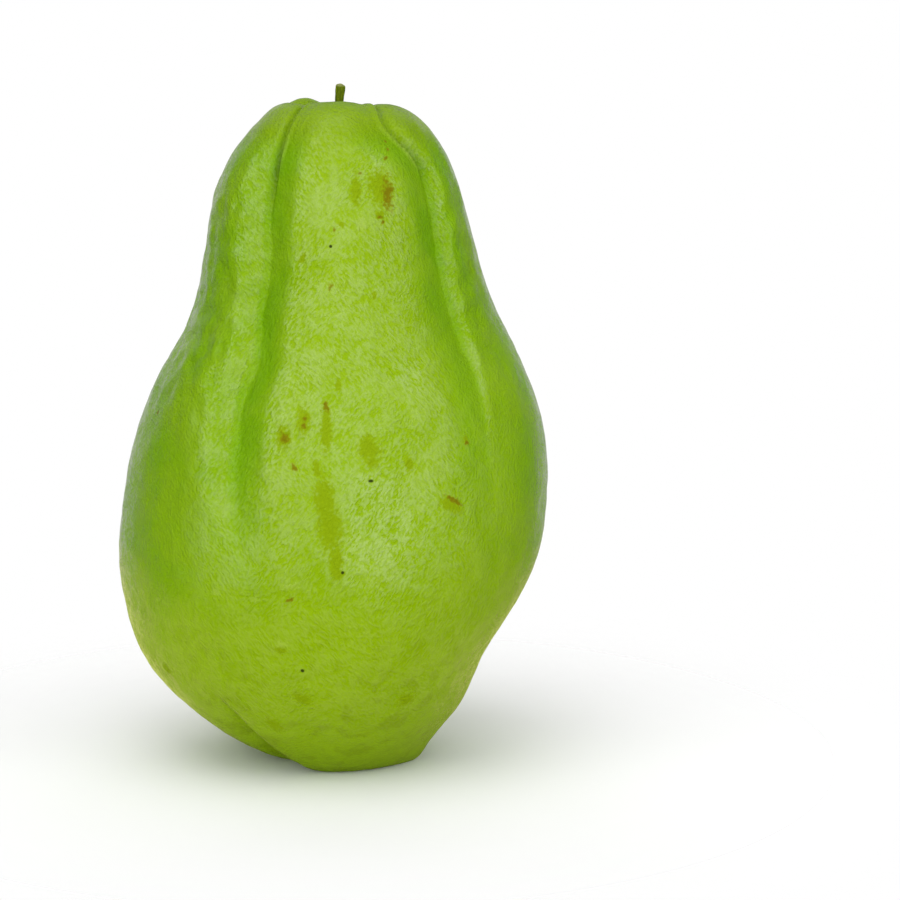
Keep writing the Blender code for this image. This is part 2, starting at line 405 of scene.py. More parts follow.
def dent_relief(point):
    """Soft unevenness of the skin: broad dents all over, and smaller ones mostly on the side lobes."""
    outside = smooth_step(*DENT_RADII, np.hypot(point[..., 0], point[..., 1]))
    lumpiness = SMALL_DENT_SHARE + SMALL_DENT_EXTRA * lumpy_share(point)
    small = SMALL_DENT_DEPTH * lumpiness * noise_at(point, SMALL_DENT_SIZE)
    tiny = TINY_DENT_DEPTH * noise_at(point + TINY_DENT_SHIFT, TINY_DENT_SIZE)
    return outside * (DENT_DEPTH * noise_at(point, DENT_SIZE) + small + tiny)


def fruit_point(along, bearing):
    """Points of the finished skin, with the foot pressed flat at height 0."""
    point = body_point(along, bearing)
    relief = furrow_relief(point, bearing) + crease_relief(point, bearing)
    relief += mouth_relief(point) + dent_relief(point) - SKIN_INSET
    point = point + body_normal(along, bearing) * relief[..., None]
    point[..., 2] -= CREST_TILT * point[..., 1] * smooth_step(*TILT_HEIGHTS, point[..., 2])
    point[..., 2] = np.maximum(point[..., 2], 0.0)
    return point + (AXIS_RIGHT, AXIS_BACK, 0.0)


# ---------------------------------------------------------------- meshes


def grid_faces(rings, columns):
    """Quads of a grid closed round, with vertex 0 at the lower pole and the last at the upper."""
    faces = []
    for ring in range(rings - 1):
        low = 1 + ring * columns
        for column in range(columns):
            ahead = (column + 1) % columns
            faces.append((low + column, low + ahead, low + columns + ahead, low + columns + column))
    top = 1 + rings * columns
    last = top - columns
    for column in range(columns):
        ahead = (column + 1) % columns
        faces.append((0, 1 + ahead, 1 + column))
        faces.append((top, last + column, last + ahead))
    return faces


def grid_map(rings, columns):
    """Texture places of the corners of grid_faces: round from 0 to 1, and along from 0 to 1."""
    places = []
    for ring in range(1, rings):
        low, high = ring / (rings + 1), (ring + 1) / (rings + 1)
        for column in range(columns):
            left, right = column / columns, (column + 1) / columns
            places += [(left, low), (right, low), (right, high), (left, high)]
    low, high = 1 / (rings + 1), rings / (rings + 1)
    for column in range(columns):
        left, right = column / columns, (column + 1) / columns
        middle = 0.5 * (left + right)
        places += [(middle, 0.0), (right, low), (left, low), (middle, 1.0), (left, high), (right, high)]
    return places


def make_fruit():
    """The fruit, as a grid that starts and ends at the back, with the shares that its colours need."""
    along = np.arange(1, RINGS) / RINGS
    bearing = np.pi + np.arange(COLUMNS) * FULL_TURN / COLUMNS
    along, bearing = (a.ravel() for a in np.meshgrid(along, bearing, indexing="ij"))
    along = np.concatenate(([0.0], along, [1.0]))
    bearing = np.concatenate(([0.0], bearing, [0.0]))
    point = fruit_point(along, bearing)
    mesh = bpy.data.meshes.new("chayote_fruit")
    mesh.from_pydata((point * MM).tolist(), [], grid_faces(RINGS - 1, COLUMNS))
    mesh.shade_smooth()
    layer = mesh.uv_layers.new(name="OFBake")
    layer.data.foreach_set("uv", np.ravel(grid_map(RINGS - 1, COLUMNS)))
    plain = body_point(along, bearing)
    # Painted shade in the creases and in the mouth's hollow and fold.
    crease, lips = crease_shares(plain, bearing)
    hollow, fold = mouth_shares(plain)
    crease = crease + MOUTH_SHADE * hollow**2 + MOUTH_SHADE * fold
    # Shares for the colours, among them painted light on the front, painted shade in the furrow strips and
    # creases, and a painted highlight on the lips.
    for name, values in (
        ("furrow_and_shade_share", furrow_and_shade_share(point, bearing)),
        ("painted_light_share", flat_bell(wrapped(bearing - PAINTED_LIGHT_BEARING) / PAINTED_LIGHT_WIDTH)),
        ("lumpy_share", lumpy_share(point)),
        ("crease_shade_share", np.minimum(crease, 1.0)),
        ("lip_highlight_share", np.minimum(LIP_HIGHLIGHT_STRENGTH * lips, 1.0)),
    ):
        mesh.attributes.new(name, "FLOAT", "POINT").data.foreach_set("value", values)
    fruit = bpy.data.objects.new("chayote_fruit", mesh)
    bpy.context.scene.collection.objects.link(fruit)
    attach(fruit, "root")
    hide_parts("fruit")
    return fruit


def make_stem():
    """The stalk's stub: ribbed, a little thicker at its rounded, slanting cut end."""
    share = np.linspace(0.0, 1.0, STEM_RINGS)
    around = np.arange(STEM_SIDES) * FULL_TURN / STEM_SIDES
    share, around = (a.ravel() for a in np.meshgrid(share, around, indexing="ij"))
    past = np.clip(share - STEM_ROUNDS, 0.0, 1.0) / (1.0 - STEM_ROUNDS)
    rounding = STEM_TIP_SHARE + (1.0 - STEM_TIP_SHARE) * np.sqrt(np.clip(1.0 - past**2, 0.0, 1.0))
    radius = 0.5 * STEM_DIAMETER * (STEM_THIN + STEM_GROWTH * smooth_step(*STEM_GROWS, share))
    ribs = STEM_RIB * np.cos(5.0 * around + STEM_RIB_TURN) + 0.5 * STEM_RIB * np.cos(2.0 * around)
    radius *= (1.0 + ribs) * rounding
    x = AXIS_RIGHT + STEM_RIGHT + STEM_LEAN * share + radius * np.sin(around)
    y = AXIS_BACK - radius * np.cos(around)
    height = STEM_FOOT + share * (STEM_TOP - STEM_FOOT)
    point = np.stack([x, y, height], axis=-1)
    rough = STEM_ROUGHNESS * noise_at(point, STEM_ROUGH_SIZE)
    point[:, :2] += rough[:, None] * np.stack([np.sin(around), -np.cos(around)], axis=-1)
    point[:, 2] -= STEM_SLANT * smooth_step(*STEM_SLANTS, share) * (0.5 + 0.5 * np.sin(around) * radius)
    foot = [AXIS_RIGHT + STEM_RIGHT, AXIS_BACK, STEM_FOOT]
    top = [AXIS_RIGHT + STEM_RIGHT + STEM_LEAN, AXIS_BACK, STEM_TOP - 0.5 * STEM_SLANT]
    point = np.concatenate([[foot], point, [top]])
    mesh = bpy.data.meshes.new("chayote_stem")
    mesh.from_pydata((point * MM).tolist(), [], grid_faces(STEM_RINGS, STEM_SIDES))
    mesh.shade_smooth()
    stem = bpy.data.objects.new("chayote_stem", mesh)
    bpy.context.scene.collection.objects.link(stem)
    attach(stem, "root")
    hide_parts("stem")
    return stem


# ---------------------------------------------------------------- materials, in metres

# Colours of the skin.
# The paler, yellower front green and the deeper side green are painted light and painted shade of one skin.
LIT_FRONT_GREEN = (0.202, 0.352, 0.0005, 1.0)
SHADED_SIDE_GREEN = (0.153, 0.324, 0.0004, 1.0)
# Greener strips along the furrows: partly their own green, partly painted shade on the flanks turned from
# the light.
FURROW_AND_SHADE_GREEN = (0.143, 0.328, 0.0003, 1.0)
FOOT_GREEN = (0.208, 0.348, 0.0005, 1.0)
CREST_GREEN = (0.172, 0.300, 0.0004, 1.0)
# Painted highlight along the low lips beside the creases.
LIP_HIGHLIGHT_GREEN = (0.290, 0.450, 0.060, 1.0)
# Painted shade along the creases and the mouth's fold.
CREASE_SHADE_GREEN = (0.070, 0.165, 0.0003, 1.0)
CLOUD_GREEN = (0.240, 0.385, 0.004, 1.0)
BLOTCH_GREEN = (0.165, 0.265, 0.0005, 1.0)
# Whitish wax colour, laid on the lit front only: partly real bloom, partly painted sheen.
BLOOM_AND_SHEEN_GREEN = (0.360, 0.480, 0.130, 1.0)

# Colours of its marks, and of the browner specks at the back.
OLIVE = (0.195, 0.300, 0.0003, 1.0)
# Whitish colour of painted highlights.
PALE_HIGHLIGHT = (0.34, 0.46, 0.09, 1.0)
BROWN = (0.158, 0.132, 0.0005, 1.0)
DARK = (0.010, 0.018, 0.003, 1.0)
SPECK_BROWN = (0.150, 0.145, 0.0005, 1.0)

# Colours of the stalk: its streaks, and its cut end with the distances from the top between which it
# sets in.
BARK_DARK = (0.080, 0.120, 0.001, 1.0)
BARK_LIGHT = (0.160, 0.205, 0.004, 1.0)
BARK_CUT = (0.240, 0.260, 0.090, 1.0)
BARK_CUT_DEPTHS = (0.9 * MM, 0.4 * MM)
BARK_STREAKS_PER_M = 2500.0
BARK_STREAK_SQUEEZE = 0.2
BARK_BUMP = 0.0002

# Fine wrinkles, drawn out by this factor. They lean by this many degrees, one way or the other from
# patch to patch.
WRINKLES_PER_M = 1900.0
WRINKLE_STRETCH = 2.2
WRINKLE_LEAN = 35.0
PATCHES_PER_M = 45.0

# Bumps: how far the wrinkles and the coarser noise stand out, and how much more at lumpy places.
WRINKLE_BUMP = 0.00046
COARSE_BUMP = 0.00045
COARSE_PER_M = 260.0
LUMPY_BUMP = 2.2

# Noises of the skin's colour, and how strongly they show. The blotches show only low down.
CLOUDS_PER_M = 90.0
CLOUD_SHARE = 0.35
BLOTCHES_PER_M = 230.0
BLOTCH_SHARE = 0.6
# How strongly the creases' painted shade shows.
CREASE_SHADE_STRENGTH = 0.88

# Heights between which the foot's green ends, the crest's sets in, the blotches end, and the wax
# sets in at the foot and thins out at the crest.
FOOT_GREEN_HEIGHTS = (0.02, 0.06)
CREST_GREEN_HEIGHTS = (0.136, 0.145)
BLOTCH_HEIGHTS = (0.012, 0.05)
WAX_HEIGHTS = (0.003, 0.022)
WAX_CREST_HEIGHTS = (0.132, 0.146)

# Wax: its shares by noise from low to high, and what is left of it at the crest and in the furrows.
WAX_COARSE = (-0.04, 0.42)
WAX_FINE = (-0.12, 0.76)
WAX_CLOUD = 0.17
WAX_AT_CREST = 0.35
WAX_IN_FURROWS = 0.3
# How much whitish wax colour the lit front gets: partly real bloom, partly painted sheen.
BLOOM_AND_SHEEN_SHARE = 0.11

# Ragged edges of the marks: how far and how finely they wander, and how deeply they crumble, in
# shares of a mark's half size.
WANDER = 0.0016
WANDERS_PER_M = 500.0
CRUMBLE = 0.28
CRUMBS_PER_M = 1400.0
MARK_EDGE = 1.2

# Gloss of the clean skin and of the marks.
SKIN_ROUGHNESS = 0.26
MARK_ROUGHNESS = 0.6

# Marks on the skin, in mm and degrees: bearing, height, width, length, lean to the right.
BROWN_MARKS = (
    (27.6, 129.7, 3.0, 8.2, 4.0),
    (15.9, 134.1, 0.9, 0.9, 0.0),
    (32.9, 140.3, 0.7, 0.9, 0.0),
    (32.0, 138.9, 0.7, 1.0, 0.0),
    (29.4, 137.1, 0.9, 1.5, -20.0),
    (22.5, 125.1, 1.4, 1.1, 0.0),
    (24.2, 123.8, 0.9, 0.9, 0.0),
    (2.5, 122.6, 0.9, 0.9, 0.0),
    (0.9, 110.8, 1.3, 2.0, 10.0),
    (-0.5, 86.0, 1.2, 2.8, 0.0),
    (-6.9, 83.8, 1.3, 1.7, 0.0),
    (-6.8, 82.2, 1.2, 1.3, 0.0),
    (-12.5, 79.5, 2.0, 2.7, -10.0),
    (-8.8, 73.5, 1.5, 2.2, -30.0),
    (34.7, 65.3, 1.5, 5.4, -62.0),
    (41.2, 76.7, 1.5, 1.2, 0.0),
    (-10.0, 45.3, 0.9, 3.0, 55.0),
    (-63.9, 81.1, 1.2, 1.2, 0.0),
)
OLIVE_MARKS = (
    (12.5, 130.6, 2.4, 8.0, 0.0),
    (24.5, 131.2, 6.2, 8.6, 5.0),
    (-0.4, 82.0, 2.6, 12.0, 0.0),
    (11.2, 77.6, 5.4, 6.6, 0.0),
    (12.0, 74.6, 3.0, 3.0, 0.0),
    (-2.8, 73.2, 2.2, 5.0, -12.0),
    (-0.7, 67.0, 5.0, 11.0, -8.0),
    (0.5, 61.0, 5.8, 12.5, -6.0),
    (2.2, 53.6, 3.2, 9.0, -4.0),
    (-12.5, 79.5, 4.0, 5.4, 0.0),
    (-6.9, 83.2, 3.6, 6.4, 0.0),
    (-11.1, 116.7, 1.7, 2.6, 20.0),
    (5.6, 123.8, 1.6, 1.6, 0.0),
    (17.8, 108.5, 1.4, 1.8, 0.0),
    (3.1, 90.6, 1.6, 2.2, 0.0),
    (33.5, 64.4, 3.4, 7.0, -62.0),
    (22.0, 74.0, 2.4, 3.2, 0.0),
    (41.0, 77.5, 2.4, 2.6, 0.0),
    (22.5, 125.4, 2.6, 2.6, 0.0),
    (-20.9, 14.6, 5.0, 3.0, 60.0),
    (-56.9, 24.7, 3.0, 3.0, 0.0),
    (-8.7, 21.8, 6.0, 3.0, 30.0),
    (28.1, 20.6, 4.5, 4.0, 0.0),
    (-13.3, 33.5, 3.4, 2.0, 0.0),
)
DARK_MARKS = (
    (1.1, 119.2, 0.8, 0.8, 0.0),
    (11.4, 70.7, 1.3, 0.8, 0.0),
    (3.8, 51.4, 0.8, 0.8, 0.0),
    (-7.9, 29.0, 1.0, 1.0, 0.0),
)
# Whitish patches: painted highlights on the skin.
PALE_HIGHLIGHT_MARKS = (
    (-21.9, 66.7, 0.8, 2.4, -40.0),
    (-6.9, 140.9, 1.2, 2.4, -40.0),
    (14.5, 123.6, 2.6, 5.5, 0.0),
    (-9.6, 48.0, 4.5, 2.2, 0.0),
    (-30.5, 45.8, 2.4, 1.8, 0.0),
    (-51.9, 41.5, 2.2, 1.6, 0.0),
    (-20.0, 45.0, 3.2, 1.6, 0.0),
    (-13.1, 34.9, 2.8, 1.6, 0.0),
)

# Specks strewn over the back half: cells per metre, the largest speck's half width in cells, how
# much of the crumble their edges take, and how far back they set in.
SPECK_CELLS = 110.0
SPECK_REACH = 0.24
SPECK_CRUMBLE = 0.12
SPECK_BACK = (-0.004, 0.006)


def add_node(tree, kind, links=None, **settings):
    """A node with its properties set; links gives inputs by name or number, as values or sockets."""
    made = tree.nodes.new(kind)
    for name, value in settings.items():
        setattr(made, name, value)
    for key, value in (links or {}).items():
        socket = made.inputs[key]
        if isinstance(value, bpy.types.NodeSocket):
            tree.links.new(value, socket)
        else:
            socket.default_value = value
    return made


def ramp(tree, value, low, high, start=0.0, end=1.0):
    """start below low, end above high, and a smooth change between."""
    return add_node(
        tree, "ShaderNodeMapRange",
        {"Value": value, "From Min": low, "From Max": high, "To Min": start, "To Max": end},
        interpolation_type="SMOOTHSTEP",
    ).outputs[0]


def calculate(tree, operation, *values):
    return add_node(tree, "ShaderNodeMath", dict(enumerate(values)), operation=operation).outputs[0]


def noise_texture(tree, place, per_metre, detail):
    """Smooth noise from 0 to 1."""
    made = add_node(tree, "ShaderNodeTexNoise", {"Vector": place, "Scale": per_metre, "Detail": detail})
    return made.outputs["Fac"]


def mix_value(tree, factor, first, second):
    return add_node(tree, "ShaderNodeMix", {0: factor, 2: first, 3: second}, data_type="FLOAT").outputs[0]


def mix_colour(tree, factor, first, second):
    return add_node(tree, "ShaderNodeMix", {0: factor, 6: first, 7: second}, data_type="RGBA").outputs[2]


def attribute(tree, name):
    return add_node(tree, "ShaderNodeAttribute", attribute_name=name).outputs["Fac"]


def object_place(tree):
    return add_node(tree, "ShaderNodeTexCoord").outputs["Object"]


def camera_sees(tree):
    return add_node(tree, "ShaderNodeLightPath").outputs["Is Camera Ray"]


def new_material(name):
    made = bpy.data.materials.new(name)
    made.use_nodes = True
    return made, made.node_tree, made.node_tree.nodes["Principled BSDF"]


def mark_frame(bearing, height, lean):
    """Middle of a mark on the skin in mm, and axes across, into and along it."""
    along = np.linspace(0.02, 0.9, 600)
    heights = fruit_point(along, np.full_like(along, math.radians(bearing)))[:, 2]
    middle = float(np.interp(height, heights, along))
    small = 0.004
    here, up, aside = fruit_point(
        np.array([middle, middle + small, middle]), np.radians([bearing, bearing, bearing + 1.0])
    )
    inward = np.cross(up - here, aside - here)
    inward /= np.linalg.norm(inward)
    up = (up - here) / np.linalg.norm(up - here)
    across = np.cross(inward, up)
    turn = math.radians(lean)
    length_way = math.cos(turn) * up + math.sin(turn) * across
    return here, (np.cross(inward, length_way), inward, length_way)


def mark_mask(tree, place, crumble, marks, core):
    """1 inside the marks out to core of their half size, falling to 0 at their crumbled edges."""
    nearest = None
    for bearing, height, width, length, lean in marks:
        here, axes = mark_frame(bearing, height, lean)
        turn = Matrix([list(axis) for axis in axes]).transposed().to_euler()
        half = Vector((0.5 * width, 0.5 * max(width, length), 0.5 * length)) * MM
        placed = {"Vector": place, "Location": Vector(here) * MM, "Rotation": turn, "Scale": half}
        inside = add_node(tree, "ShaderNodeMapping", placed, vector_type="TEXTURE").outputs[0]
        away = add_node(tree, "ShaderNodeVectorMath", {0: inside}, operation="LENGTH").outputs["Value"]
        nearest = away if nearest is None else calculate(tree, "MINIMUM", nearest, away)
    return ramp(tree, calculate(tree, "ADD", nearest, crumble), core, MARK_EDGE, 1.0, 0.0)


def wrinkles(tree, place, lean):
    """Fine noise drawn out along the fruit, leaning sideways."""
    turn = (0.0, math.radians(lean), 0.0)
    drawn = {"Vector": place, "Rotation": turn, "Scale": (1.0, 1.0, WRINKLE_STRETCH)}
    grain = add_node(tree, "ShaderNodeMapping", drawn, vector_type="TEXTURE").outputs[0]
    return noise_texture(tree, grain, WRINKLES_PER_M, 3.0)


def skin_normal(tree, fine, coarse):
    """The wrinkles on top of the coarser bumps."""
    lumpy = ramp(tree, attribute(tree, "lumpy_share"), 0.0, 1.0, 1.0, LUMPY_BUMP)
    high = calculate(tree, "MULTIPLY", coarse, lumpy)
    low = add_node(tree, "ShaderNodeBump", {"Height": high, "Distance": COARSE_BUMP}).outputs[0]
    wrinkled = {"Height": fine, "Distance": WRINKLE_BUMP, "Normal": low}
    return add_node(tree, "ShaderNodeBump", wrinkled).outputs[0]


def clean_colour(tree, place, height, furrow, pale, cloud):
    """The skin's green, without its wax's whitish cast and without marks, with painted light and shade in
    it.
    """
    # Painted light: paler and yellower towards the front, which faces the light, and deeper green as painted
    # shade on the sides.
    colour = mix_colour(tree, pale, SHADED_SIDE_GREEN, LIT_FRONT_GREEN)
    # Greener furrow strips: partly their own green, partly painted shade on the flanks turned from the light
    # and in the streak.
    colour = mix_colour(tree, furrow, colour, FURROW_AND_SHADE_GREEN)
    # Painted highlight on the lips beside the creases.
    colour = mix_colour(tree, attribute(tree, "lip_highlight_share"), colour, LIP_HIGHLIGHT_GREEN)
    # Painted shade in the creases and the mouth.
    crease = calculate(tree, "MULTIPLY", attribute(tree, "crease_shade_share"), CREASE_SHADE_STRENGTH)
    colour = mix_colour(tree, crease, colour, CREASE_SHADE_GREEN)
    colour = mix_colour(tree, ramp(tree, height, *FOOT_GREEN_HEIGHTS, 1.0, 0.0), colour, FOOT_GREEN)
    colour = mix_colour(tree, ramp(tree, height, *CREST_GREEN_HEIGHTS), colour, CREST_GREEN)
    colour = mix_colour(tree, calculate(tree, "MULTIPLY", cloud, CLOUD_SHARE), colour, CLOUD_GREEN)
    blotch = ramp(tree, noise_texture(tree, place, BLOTCHES_PER_M, 2.0), 0.52, 0.66)
    low = ramp(tree, height, *BLOTCH_HEIGHTS, BLOTCH_SHARE, 0.0)
    return mix_colour(tree, calculate(tree, "MULTIPLY", blotch, low), colour, BLOTCH_GREEN)


def wax_share(tree, height, furrow, cloud, fine, coarse):
    """Wax in small worn patches, thicker along the wrinkles, thin in the furrows, none at the foot."""
    by_coarse = ramp(tree, coarse, 0.40, 0.64, *WAX_COARSE)
    wax = calculate(tree, "ADD", by_coarse, ramp(tree, fine, 0.42, 0.6, *WAX_FINE))
    wax = calculate(tree, "ADD", wax, calculate(tree, "MULTIPLY", cloud, WAX_CLOUD))
    wax = calculate(tree, "MULTIPLY", wax, ramp(tree, height, *WAX_HEIGHTS))
    wax = calculate(tree, "MULTIPLY", wax, ramp(tree, height, *WAX_CREST_HEIGHTS, 1.0, WAX_AT_CREST))
    wax = calculate(tree, "MULTIPLY", wax, ramp(tree, furrow, 0.0, 1.0, 1.0, WAX_IN_FURROWS))
    return add_node(tree, "ShaderNodeClamp", {0: wax}).outputs[0]


def add_marks(tree, place, behind, colour):
    """The colour with its marks and specks, and how far they cover it."""
    wander = add_node(tree, "ShaderNodeTexNoise", {"Vector": place, "Scale": WANDERS_PER_M, "Detail": 2.0})
    centred = {0: wander.outputs["Color"], 1: (0.5, 0.5, 0.5)}
    shift = add_node(tree, "ShaderNodeVectorMath", centred, operation="SUBTRACT").outputs[0]
    scaled = {0: shift, "Scale": WANDER}
    shift = add_node(tree, "ShaderNodeVectorMath", scaled, operation="SCALE").outputs[0]
    ragged = add_node(tree, "ShaderNodeVectorMath", {0: place, 1: shift}, operation="ADD").outputs[0]
    crumble = ramp(tree, noise_texture(tree, place, CRUMBS_PER_M, 2.0), 0.3, 0.7, -CRUMBLE, CRUMBLE)

    covered = 0.0
    for marks, where, edge, core, strength, paint in (
        (OLIVE_MARKS, ragged, crumble, 0.45, 0.95, OLIVE),
        # The pale marks are painted highlights.
        (PALE_HIGHLIGHT_MARKS, ragged, crumble, 0.0, 0.3, PALE_HIGHLIGHT),
        (BROWN_MARKS, ragged, crumble, 0.3, 0.9, BROWN),
        (DARK_MARKS, place, 0.0, 0.5, 0.95, DARK),
    ):
        mask = calculate(tree, "MULTIPLY", mark_mask(tree, where, edge, marks, core), strength)
        colour = mix_colour(tree, mask, colour, paint)
        covered = calculate(tree, "MAXIMUM", covered, mask)

    cells = add_node(tree, "ShaderNodeTexVoronoi", {"Vector": ragged, "Scale": SPECK_CELLS})
    size, brownness, _ = add_node(tree, "ShaderNodeSeparateColor", {0: cells.outputs["Color"]}).outputs
    reach = ramp(tree, size, 0.45, 1.0, 0.0, SPECK_REACH)
    beyond = calculate(tree, "SUBTRACT", cells.outputs["Distance"], reach)
    beyond = calculate(tree, "ADD", beyond, calculate(tree, "MULTIPLY", crumble, SPECK_CRUMBLE))
    speck = ramp(tree, beyond, -0.05, 0.0, 0.9, 0.0)
    speck = calculate(tree, "MULTIPLY", speck, ramp(tree, behind, *SPECK_BACK))
    paint = mix_colour(tree, ramp(tree, brownness, 0.5, 0.7), OLIVE, SPECK_BROWN)
    return mix_colour(tree, speck, colour, paint), calculate(tree, "MAXIMUM", covered, speck)


def skin_material():
    made, tree, shader = new_material("waxy_skin")
    place = object_place(tree)
    _, behind, height = add_node(tree, "ShaderNodeSeparateXYZ", {0: place}).outputs
    furrow = attribute(tree, "furrow_and_shade_share")
    # How much of the front's painted light lies at each point.
    pale = attribute(tree, "painted_light_share")

    patches = ramp(tree, noise_texture(tree, place, PATCHES_PER_M, 1.0), 0.42, 0.58)
    left, right = wrinkles(tree, place, WRINKLE_LEAN), wrinkles(tree, place, -WRINKLE_LEAN)
    fine = mix_value(tree, patches, left, right)
    coarse = noise_texture(tree, place, COARSE_PER_M, 2.0)
    tree.links.new(skin_normal(tree, fine, coarse), shader.inputs["Normal"])

    cloud = ramp(tree, noise_texture(tree, place, CLOUDS_PER_M, 3.0), 0.35, 0.65)
    colour = clean_colour(tree, place, height, furrow, pale, cloud)
    wax = wax_share(tree, height, furrow, cloud, fine, coarse)
    # Whitish wax colour where the front is lit: partly real bloom, partly painted sheen.
    bloom_and_sheen = calculate(tree, "MULTIPLY", wax, ramp(tree, pale, 0.2, 0.9, 0.0, BLOOM_AND_SHEEN_SHARE))
    colour = mix_colour(tree, bloom_and_sheen, colour, BLOOM_AND_SHEEN_GREEN)
    colour, covered = add_marks(tree, place, behind, colour)
    tree.links.new(colour, shader.inputs["Base Color"])

    roughness = ramp(tree, covered, 0.0, 0.8, SKIN_ROUGHNESS, MARK_ROUGHNESS)
    tree.links.new(roughness, shader.inputs["Roughness"])
    wax = calculate(tree, "MULTIPLY", wax, ramp(tree, covered, 0.1, 0.7, 1.0, 0.0))
    tree.links.new(wax, shader.inputs["Coat Weight"])
    shader.inputs["Coat Roughness"].default_value = 0.22
    shader.inputs["Specular IOR Level"].default_value = 0.3
    shader.inputs["Specular Tint"].default_value = (0.92, 1.0, 0.18, 1.0)
    return made


def stem_material():
    """Dry green-brown bark, streaked along, paler at the cut end."""
    made, tree, shader = new_material("stem_bark")
    place = object_place(tree)
    squeeze = (1.0, 1.0, BARK_STREAK_SQUEEZE)
    drawn = add_node(tree, "ShaderNodeMapping", {"Vector": place, "Scale": squeeze}).outputs[0]
    streaks = noise_texture(tree, drawn, BARK_STREAKS_PER_M, 3.0)
    height = add_node(tree, "ShaderNodeSeparateXYZ", {0: place}).outputs[2]
    colour = mix_colour(tree, ramp(tree, streaks, 0.35, 0.65), BARK_DARK, BARK_LIGHT)
    start, end = (STEM_TOP * MM - depth for depth in BARK_CUT_DEPTHS)
    colour = mix_colour(tree, ramp(tree, height, start, end, 0.0, 0.9), colour, BARK_CUT)
    tree.links.new(colour, shader.inputs["Base Color"])
    bump = add_node(tree, "ShaderNodeBump", {"Height": streaks, "Distance": BARK_BUMP})
    tree.links.new(bump.outputs[0], shader.inputs["Normal"])
    shader.inputs["Roughness"].default_value = 0.7
    shader.inputs["Specular IOR Level"].default_value = 0.1
    return made


# ---------------------------------------------------------------- studio, in metres

# The camera looks down on a point to the right of the fruit. It is this far from it, and this wide a
# strip of the scene fits the picture there.
CAMERA_TARGET = (0.02614, 0.00107, 0.0696)
CAMERA_DISTANCE = 0.8
CAMERA_DOWN = math.radians(11.0)
CAMERA_STRIP = 0.2007
CAMERA_SENSOR = 36.0

# Brightness of the surroundings: the front level below, ahead and high up, at the sides, behind,
# overhead and there towards the back, and a bright spot in front, to the right.
AHEAD_LOW = 0.75
AHEAD_HIGH = 1.6
LEFT_SIDE = 0.03
RIGHT_SIDE = 0.12
BEHIND = 0.6
OVERHEAD = 2.1
OVERHEAD_BACK = 0.7
SPOT = 2.2

# Where they change: ways across run from -1 at the left to 1 at the right, ways back from -1 in front
# to 1 behind, and ways up from -1 to 1. The wall behind starts nearer at the left.
AHEAD_BACK = (-0.5, -0.1)
AHEAD_UP = (-0.25, 0.25)
SIDE_ACROSS = (0.35, 0.9)
BEHIND_BACK = (0.75, 0.88)
BEHIND_GAP = (0.985, 0.999)
BEHIND_WIDER = 0.18
BEHIND_WIDER_ACROSS = (-0.7, -0.2)
OVERHEAD_UP = (0.7, 0.9)
CEILING_BACK = (-0.1, 0.3)
CEILING_ACROSS = (0.0, 0.4)
SPOT_WAY = (0.42, -0.9, -0.1)
SPOT_NEAR = (0.93, 0.995)

# The front is uneven: its cells per unit of way, and its darkest and brightest share.
CELLS = 5.0
CELL_SHARES = (0.35, 1.65)

# How light the floor is: to the camera, and in the fruit's gloss near the fruit and far from it. How
# far out it fades, for the camera and for the rest, and where it darkens outwards and to the right, the
# latter as painted shade.
FLOOR_HALF = 1.2
FLOOR_SEEN = 0.92
FLOOR_NEAR = 0.85
FLOOR_FAR = 0.65
FLOOR_TINT = (1.0, 1.0, 0.32)
FLOOR_FADE_SEEN = (0.04, 0.15)
FLOOR_FADE = (0.08, 0.32)
FLOOR_DIMS = (0.03, 0.25)
FLOOR_SHADE_RIGHT = (-0.02, 0.15)
FLOOR_SHADE_RIGHT_SHARE = 0.5

# Soft lights, aimed at this height: bearing (0 in front, positive to the right) and elevation in
# degrees, distance, size and radiance.
LIT_HEIGHT = 0.075
SOFTBOXES = (
    ("back_fill", 180.0, 35.0, 1.1, (1.6, 1.0), 0.6),
    ("right_fill", 95.0, 15.0, 1.0, (0.6, 0.9), 0.9),
)


def aim(thing, at):
    thing.rotation_euler = (Vector(at) - thing.location).to_track_quat("-Z", "Y").to_euler()


def add_camera():
    """Level with the upper half of the fruit, looking a little down, with the fruit left of centre."""
    target = Vector(CAMERA_TARGET)
    data = bpy.data.cameras.new("camera")
    data.sensor_width = CAMERA_SENSOR
    data.lens = CAMERA_SENSOR * CAMERA_DISTANCE / CAMERA_STRIP
    camera = bpy.data.objects.new("camera", data)
    bpy.context.scene.collection.objects.link(camera)
    towards = Vector((0.0, -math.cos(CAMERA_DOWN), math.sin(CAMERA_DOWN)))
    camera.location = target + CAMERA_DISTANCE * towards
    aim(camera, target)
    bpy.context.scene.camera = camera


def add_softbox(name, bearing, elevation, distance, size, radiance):
    """A rectangular area light aimed at the fruit, unseen by the camera and in the gloss."""
    data = bpy.data.lights.new(name, "AREA")
    data.shape = "RECTANGLE"
    data.size, data.size_y = size
    data.energy = radiance * math.pi * size[0] * size[1]
    light = bpy.data.objects.new(name, data)
    turn, rise = math.radians(bearing), math.radians(elevation)
    centre = Vector((0.0, 0.0, LIT_HEIGHT))
    light.location = centre + distance * Vector(
        (math.sin(turn) * math.cos(rise), -math.cos(turn) * math.cos(rise), math.sin(rise))
    )
    aim(light, centre)
    light.visible_camera = False
    light.visible_glossy = False
    bpy.context.scene.collection.objects.link(light)


